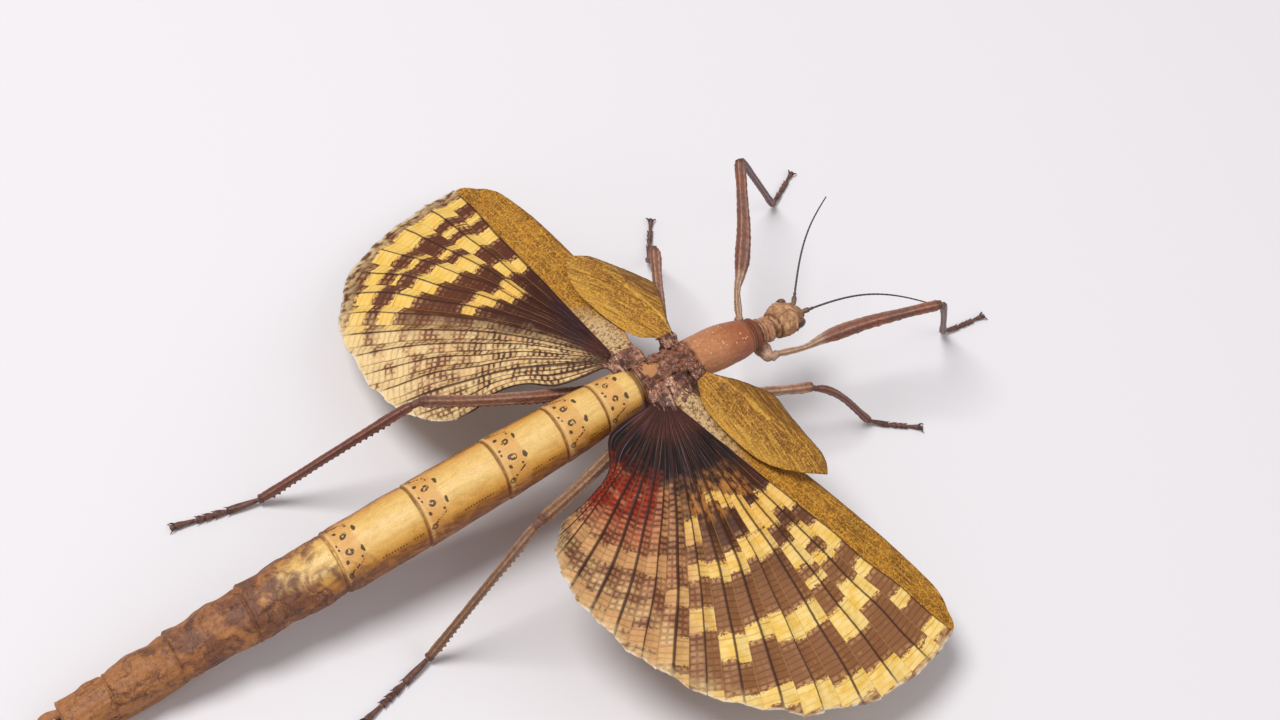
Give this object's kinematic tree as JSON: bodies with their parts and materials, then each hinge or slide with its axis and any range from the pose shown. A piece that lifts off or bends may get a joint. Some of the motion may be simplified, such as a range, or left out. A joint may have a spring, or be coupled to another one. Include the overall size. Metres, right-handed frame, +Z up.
{
  "type": "giant winged stick insect",
  "caption": "Grown female giant stick insect standing with both pairs of wings spread, a still life-size model.",
  "frame": {"origin": "middle of the footprint, on the floor under the feet and the tip of the tail", "axes": "+X towards the head, +Y towards the insect's left side, +Z up"},
  "size_m": [0.2244, 0.1512, 0.0408],
  "materials": {
    "thorax": "satin",
    "head": "satin",
    "eye": "glossy",
    "antenna": "matt",
    "abdomen": "satin",
    "leg": "satin",
    "foot": "matt",
    "fore_wing": "satin",
    "hind_wing": "satin, patterned"
  },
  "bodies": {
    "root": {"pronotum": "thorax", "mesothorax": "thorax", "metathorax": "thorax", "abdomen_2": "abdomen", "abdomen_3": "abdomen", "abdomen_4": "abdomen", "abdomen_5": "abdomen", "abdomen_6": "abdomen", "abdomen_7": "abdomen", "abdomen_8": "abdomen", "abdomen_9": "abdomen", "abdomen_10": "abdomen", "operculum": "abdomen", "cercus_left": "abdomen", "cercus_right": "abdomen", "head": "head", "mouthparts": "head", "eye_left": "eye", "eye_right": "eye", "antenna_left": "antenna", "antenna_right": "antenna", "coxa_fore_left": "leg", "femur_fore_left": "leg", "tibia_fore_left": "leg", "tarsus_fore_left": "foot", "coxa_fore_right": "leg", "femur_fore_right": "leg", "tibia_fore_right": "leg", "tarsus_fore_right": "foot", "coxa_mid_left": "leg", "femur_mid_left": "leg", "tibia_mid_left": "leg", "tarsus_mid_left": "foot", "coxa_mid_right": "leg", "femur_mid_right": "leg", "tibia_mid_right": "leg", "tarsus_mid_right": "foot", "coxa_hind_left": "leg", "femur_hind_left": "leg", "tibia_hind_left": "leg", "tarsus_hind_left": "foot", "coxa_hind_right": "leg", "femur_hind_right": "leg", "tibia_hind_right": "leg", "tarsus_hind_right": "foot", "fore_wing_left": "fore_wing", "fore_wing_right": "fore_wing", "hind_wing_left": "hind_wing", "hind_wing_right": "hind_wing"}
  },
  "joints": []
}
